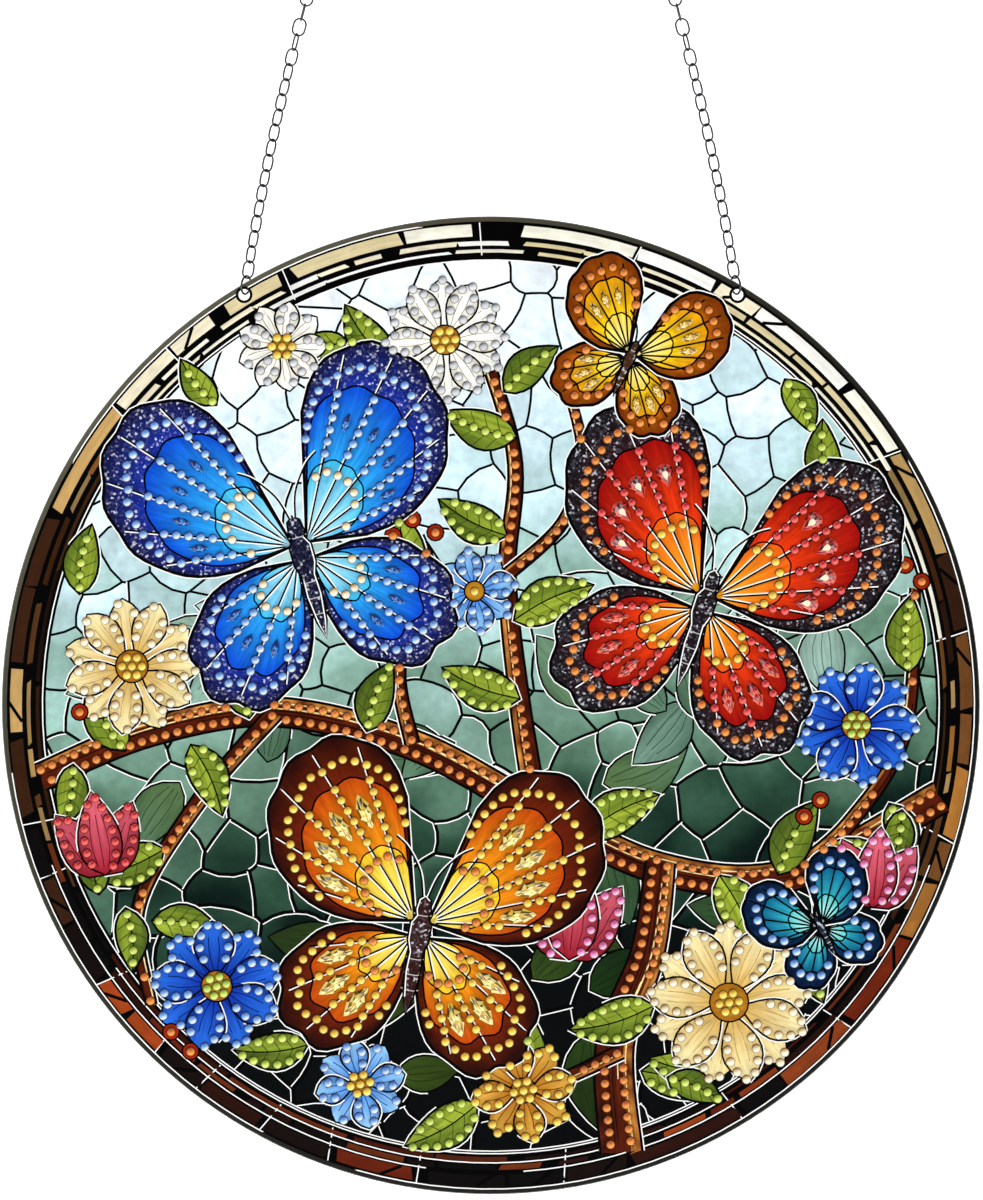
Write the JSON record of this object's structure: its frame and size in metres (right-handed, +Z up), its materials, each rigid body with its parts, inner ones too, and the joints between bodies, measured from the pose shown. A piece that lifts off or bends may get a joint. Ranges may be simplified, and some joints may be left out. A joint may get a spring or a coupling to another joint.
{
  "type": "diamond painting ornament",
  "caption": "Round acrylic panel with a printed picture in stained-glass style, set with cut and round stones, hung from a two-strand link chain.",
  "frame": {"origin": "inside the top bend of the middle chain link, where the hook bears", "axes": "+Z up, along the height of the hanging ornament; the panel lies in the XZ plane and its picture faces -Y; +X to the right as seen from the front"},
  "size_m": [0.3, 0.0064, 0.5811],
  "materials": {
    "acrylic": "glossy print on clear acrylic",
    "chain_steel": "bright plated steel",
    "stone_blue": "faceted resin",
    "stone_red": "faceted resin",
    "stone_yellow": "faceted resin",
    "stone_lime": "faceted resin",
    "stone_orange": "faceted resin",
    "stone_pink": "faceted resin",
    "stone_clear": "clear faceted resin",
    "stone_black": "faceted resin"
  },
  "bodies": {
    "root": {"panel": "acrylic", "jump_ring_left": "chain_steel", "jump_ring_right": "chain_steel", "chain_left": "chain_steel", "chain_right": "chain_steel", "hanging_link": "chain_steel", "blue_oval_01": "stone_blue", "blue_oval_02": "stone_blue", "blue_oval_03": "stone_blue", "blue_oval_04": "stone_blue", "blue_oval_05": "stone_blue", "blue_oval_06": "stone_blue", "blue_oval_07": "stone_blue", "blue_oval_08": "stone_blue", "blue_oval_09": "stone_blue", "blue_oval_10": "stone_blue", "blue_oval_11": "stone_blue", "blue_oval_12": "stone_blue", "blue_oval_13": "stone_blue", "blue_oval_14": "stone_blue", "red_drop_01": "stone_red", "red_drop_02": "stone_red", "red_drop_03": "stone_red", "red_drop_04": "stone_red", "red_drop_05": "stone_red", "red_drop_06": "stone_red", "red_drop_07": "stone_red", "red_drop_08": "stone_red", "red_oval_01": "stone_red", "red_oval_02": "stone_red", "red_oval_03": "stone_red", "red_oval_04": "stone_red", "red_oval_05": "stone_red", "red_oval_06": "stone_red", "yellow_oval_01": "stone_yellow", "yellow_oval_02": "stone_yellow", "yellow_oval_03": "stone_yellow", "yellow_oval_04": "stone_yellow", "yellow_oval_05": "stone_yellow", "yellow_oval_06": "stone_yellow", "yellow_oval_07": "stone_yellow", "yellow_oval_08": "stone_yellow", "yellow_oval_09": "stone_yellow", "yellow_oval_10": "stone_yellow", "yellow_oval_11": "stone_yellow", "yellow_oval_12": "stone_yellow", "yellow_oval_13": "stone_yellow", "yellow_oval_14": "stone_yellow", "gold_oval_01": "stone_yellow", "gold_oval_02": "stone_yellow", "gold_oval_03": "stone_yellow", "gold_oval_04": "stone_yellow", "gold_oval_05": "stone_yellow", "gold_oval_06": "stone_yellow", "gold_oval_07": "stone_yellow", "gold_oval_08": "stone_yellow", "gold_oval_09": "stone_yellow", "gold_oval_10": "stone_yellow", "gold_oval_11": "stone_yellow", "gold_oval_12": "stone_yellow"}
  },
  "joints": []
}
